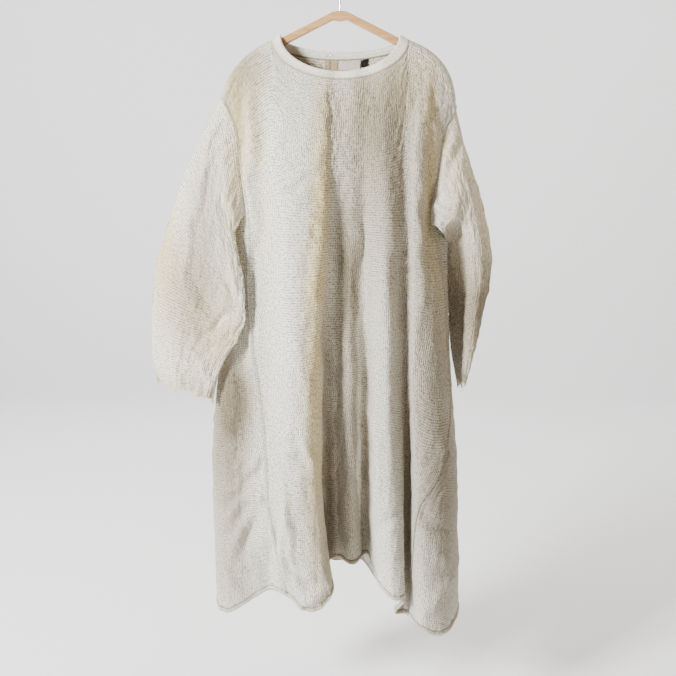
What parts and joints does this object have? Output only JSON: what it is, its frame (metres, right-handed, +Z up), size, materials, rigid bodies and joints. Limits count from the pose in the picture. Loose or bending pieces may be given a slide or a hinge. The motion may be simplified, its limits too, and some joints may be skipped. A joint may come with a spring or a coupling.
{
  "type": "druid robe on a coat hanger",
  "caption": "Long cream robe of heavy crinkled cotton with torn wide sleeves and a flared, folded skirt, hung on a wooden coat hanger.",
  "frame": {"origin": "inside top of the hanger's hook, where a rail touches it", "axes": "+Z up; the wearer's front faces -Y; +X is on the right as seen from the front"},
  "size_m": [0.719, 0.2485, 1.3763],
  "materials": {
    "crinkled_cotton": "matt, heavy crinkled weave, raw at the torn cuffs",
    "slit_tape": "matt tan cotton tape",
    "label": "plain woven label, bare",
    "black_tab": "plain black woven tab, bare",
    "hanger_wood": "clear-lacquered beech",
    "steel_wire": "bright plated wire"
  },
  "bodies": {
    "root": {"front_panel": "crinkled_cotton", "back_right": "crinkled_cotton", "back_left": "crinkled_cotton", "sleeve_left": "crinkled_cotton", "sleeve_right": "crinkled_cotton", "neck_band": "crinkled_cotton", "slit_tape_right": "slit_tape", "slit_tape_left": "slit_tape", "neck_label": "label", "size_tab": "black_tab", "eye": "steel_wire", "hook": "steel_wire", "hanger_wood": "hanger_wood", "hanger_bar": "hanger_wood", "hanger_hook": "steel_wire", "frayed_knot_left_outer": "crinkled_cotton", "frayed_knot_left_inner": "crinkled_cotton", "frayed_knot_right": "crinkled_cotton"}
  },
  "joints": []
}
